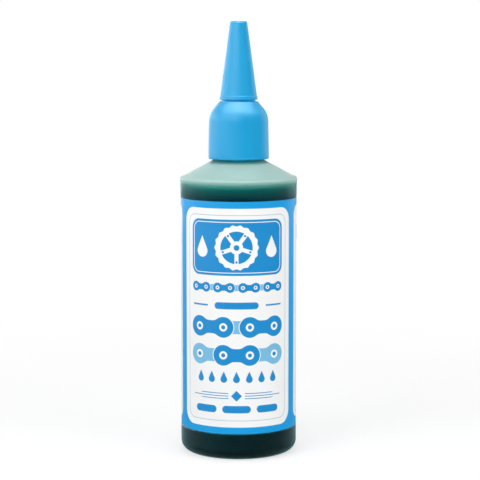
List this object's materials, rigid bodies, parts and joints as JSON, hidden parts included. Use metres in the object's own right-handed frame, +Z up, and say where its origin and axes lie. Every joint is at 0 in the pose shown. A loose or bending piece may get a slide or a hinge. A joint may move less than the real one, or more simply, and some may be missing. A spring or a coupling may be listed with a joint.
{
  "type": "chain lube bottle",
  "caption": "Slim round squeeze bottle of chain oil with a wrap label, a domed screw-on spout closure and a conical pull-off overcap.",
  "frame": {"origin": "middle of the standing ring, on the surface that the bottle stands on", "axes": "+Z up along the bottle's axis, -Y out of the front of the label"},
  "size_m": [0.0436, 0.0436, 0.16],
  "materials": {
    "natural_polyethylene": "translucent, softly frosted blow-moulded wall",
    "printed_film": "satin printed film, blue ground with white panels",
    "green_oil": "clear dark green liquid",
    "blue_polypropylene": "moulded, softly satin"
  },
  "bodies": {
    "bottle_body": {"bottle": "natural_polyethylene", "wrap_label": "printed_film", "oil_fill": "green_oil"},
    "closure": {"spout_closure": "blue_polypropylene"},
    "cap": {"overcap": "blue_polypropylene"}
  },
  "joints": [
    {"name": "closure_lift", "type": "slide", "parent": "bottle_body", "child": "closure", "axis": [0, 0, 1], "range_m": [0, 0.02]},
    {"name": "overcap_pull", "type": "slide", "parent": "closure", "child": "cap", "axis": [0, 0, 1], "range_m": [0, 0.032]}
  ]
}
